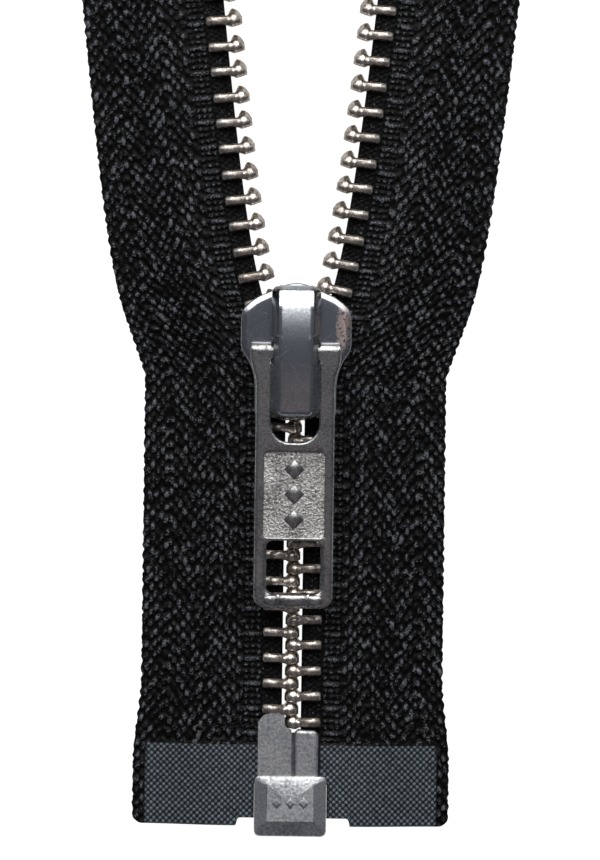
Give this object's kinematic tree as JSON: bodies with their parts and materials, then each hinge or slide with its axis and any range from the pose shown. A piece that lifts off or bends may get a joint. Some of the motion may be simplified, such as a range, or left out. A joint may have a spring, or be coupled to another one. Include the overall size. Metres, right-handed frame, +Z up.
{
  "type": "separating zipper",
  "caption": "Black-tape metal zipper lying flat and half open: meshed teeth below, parted rows above, a locking slider with a pull tab, and a retainer box with its pins.",
  "frame": {"origin": "centre of the zipper's footprint, on the surface it lies on", "axes": "+Y along the chain from the retainer box towards the open end, +X to the right, +Z up through the slider's crown"},
  "size_m": [0.0462, 0.0962, 0.0085],
  "materials": {
    "woven_tape": "black woven polyester",
    "stiffening_film": "embossed dark film",
    "tooth_metal": "nickel-plated and polished",
    "polished_nickel": "dark polished nickel plate",
    "satin_nickel": "satin nickel plate",
    "spring_steel": "bright spring steel"
  },
  "bodies": {
    "chain": {"left_tape_lower": "woven_tape", "right_tape_lower": "woven_tape", "left_film_front": "stiffening_film", "left_film_back": "stiffening_film", "right_film_front": "stiffening_film", "right_film_back": "stiffening_film", "left_closed_teeth": "tooth_metal", "right_closed_teeth": "tooth_metal", "insertion_pin": "satin_nickel", "retaining_pin": "satin_nickel", "retainer_box": "satin_nickel"},
    "slider": {"slider_body": "polished_nickel", "slider_cover": "polished_nickel"},
    "lock": {"lock_spring": "spring_steel"},
    "pull": {"pull_tab": "satin_nickel"},
    "left_throat": {"left_tape_throat": "woven_tape", "left_tooth_14": "tooth_metal", "left_tooth_15": "tooth_metal", "left_tooth_16": "tooth_metal", "left_tooth_17": "tooth_metal"},
    "left_side": {"left_tape_upper": "woven_tape", "left_top_stop": "tooth_metal", "left_tooth_18": "tooth_metal", "left_tooth_19": "tooth_metal", "left_tooth_20": "tooth_metal", "left_tooth_21": "tooth_metal", "left_tooth_22": "tooth_metal", "left_tooth_23": "tooth_metal", "left_tooth_24": "tooth_metal", "left_tooth_25": "tooth_metal", "left_tooth_26": "tooth_metal", "left_tooth_27": "tooth_metal", "left_tooth_28": "tooth_metal", "left_tooth_29": "tooth_metal", "left_tooth_30": "tooth_metal"},
    "right_throat": {"right_tape_throat": "woven_tape", "right_tooth_14": "tooth_metal", "right_tooth_15": "tooth_metal", "right_tooth_16": "tooth_metal", "right_tooth_17": "tooth_metal"},
    "right_side": {"right_tape_upper": "woven_tape", "right_top_stop": "tooth_metal", "right_tooth_18": "tooth_metal", "right_tooth_19": "tooth_metal", "right_tooth_20": "tooth_metal", "right_tooth_21": "tooth_metal", "right_tooth_22": "tooth_metal", "right_tooth_23": "tooth_metal", "right_tooth_24": "tooth_metal", "right_tooth_25": "tooth_metal", "right_tooth_26": "tooth_metal", "right_tooth_27": "tooth_metal", "right_tooth_28": "tooth_metal", "right_tooth_29": "tooth_metal", "right_tooth_30": "tooth_metal"}
  },
  "joints": [
    {"name": "slider_travel", "type": "slide", "parent": "chain", "child": "slider", "axis": [0, 1, 0], "range_m": [-0.0355, 0.033], "deforming": ["left_tape_lower", "left_tape_throat", "left_tape_upper", "left_film_front", "left_film_back", "left_closed_teeth", "left_top_stop", "left_tooth_14", "left_tooth_15", "left_tooth_16", "left_tooth_17", "left_tooth_18", "left_tooth_19", "left_tooth_20", "left_tooth_21", "left_tooth_22", "left_tooth_23", "left_tooth_24", "left_tooth_25", "left_tooth_26", "left_tooth_27", "left_tooth_28", "left_tooth_29", "left_tooth_30", "right_tape_lower", "right_tape_throat", "right_tape_upper", "right_film_front", "right_film_back", "right_closed_teeth", "right_top_stop", "right_tooth_14", "right_tooth_15", "right_tooth_16", "right_tooth_17", "right_tooth_18", "right_tooth_19", "right_tooth_20", "right_tooth_21", "right_tooth_22", "right_tooth_23", "right_tooth_24", "right_tooth_25", "right_tooth_26", "right_tooth_27", "right_tooth_28", "right_tooth_29", "right_tooth_30"]},
    {"name": "pull_swing", "type": "hinge", "parent": "slider", "child": "pull", "pos_m": [0, 0.00039, 0.0062], "axis": [-1, 0, 0], "range_deg": [0, 180]},
    {"name": "lock_lift", "type": "hinge", "parent": "slider", "child": "lock", "pos_m": [0, -0.00436, 0.0053], "axis": [1, 0, 0], "range_deg": [0, 5], "stiffness_Nm_per_rad": 0.002, "springref_deg": -2.86},
    {"name": "left_throat_bend", "type": "hinge", "parent": "chain", "child": "left_throat", "pos_m": [0, -0.00206, 0.0025], "axis": [0, 0, 1], "range_deg": [-17.3, 18.61]},
    {"name": "left_side_bend", "type": "hinge", "parent": "left_throat", "child": "left_side", "pos_m": [-0.00242, 0.00578, 0.0025], "axis": [0, 0, 1], "range_deg": [-9.84, 9.15]},
    {"name": "right_throat_bend", "type": "hinge", "parent": "chain", "child": "right_throat", "pos_m": [0, -0.00206, 0.0025], "axis": [0, 0, -1], "range_deg": [-17.3, 18.61]},
    {"name": "right_side_bend", "type": "hinge", "parent": "right_throat", "child": "right_side", "pos_m": [0.00242, 0.00578, 0.0025], "axis": [0, 0, -1], "range_deg": [-9.84, 9.15]}
  ],
  "couplings": [
    {"joint": "left_throat_bend", "follows": "slider_travel", "rad_per_m": -9.1233},
    {"joint": "left_side_bend", "follows": "slider_travel", "rad_per_m": 4.8129},
    {"joint": "right_throat_bend", "follows": "slider_travel", "rad_per_m": -9.1233},
    {"joint": "right_side_bend", "follows": "slider_travel", "rad_per_m": 4.8129}
  ]
}
